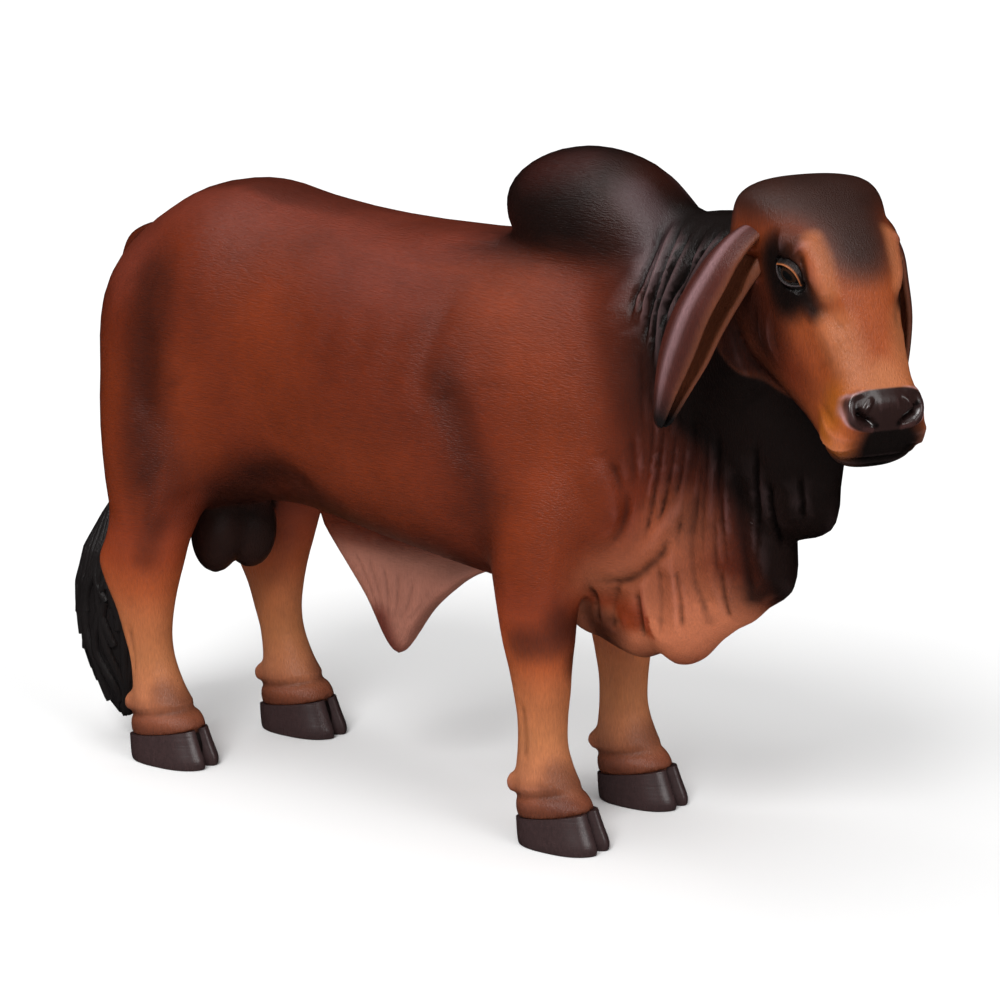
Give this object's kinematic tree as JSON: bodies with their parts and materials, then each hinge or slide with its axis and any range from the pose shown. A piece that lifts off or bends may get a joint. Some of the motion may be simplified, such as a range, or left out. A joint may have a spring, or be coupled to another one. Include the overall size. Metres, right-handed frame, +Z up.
{
  "type": "brahman bull statue",
  "caption": "Life-size painted statue of a standing Brahman bull with a shoulder hump, long hanging ears, a deep folded dewlap and a heavy tail switch.",
  "frame": {"origin": "on the ground, under the middle of the statue's bounding box", "axes": "+X the way the bull faces, +Y to the bull's left, +Z up"},
  "size_m": [2.5086, 0.7452, 1.6324],
  "materials": {
    "body_paint": "satin airbrushed paint over glass-fibre resin",
    "face_paint": "satin airbrushed paint over glass-fibre resin",
    "leg_paint": "satin airbrushed paint over glass-fibre resin",
    "dark_paint": "satin airbrushed paint over glass-fibre resin",
    "hoof_paint": "semi-gloss paint",
    "eye_paint": "gloss clear-coated paint"
  },
  "bodies": {
    "root": {"torso": "body_paint", "neck": "body_paint", "head": "face_paint", "hump": "dark_paint", "dewlap": "leg_paint", "leg_front_right": "leg_paint", "leg_front_left": "leg_paint", "leg_hind_right": "leg_paint", "leg_hind_left": "leg_paint", "hoof_front_right": "hoof_paint", "hoof_front_left": "hoof_paint", "hoof_hind_right": "hoof_paint", "hoof_hind_left": "hoof_paint", "tail": "dark_paint", "ear_right": "body_paint", "ear_left": "body_paint", "eye_right": "eye_paint", "eye_left": "eye_paint", "sheath": "leg_paint", "scrotum": "dark_paint"}
  },
  "joints": []
}
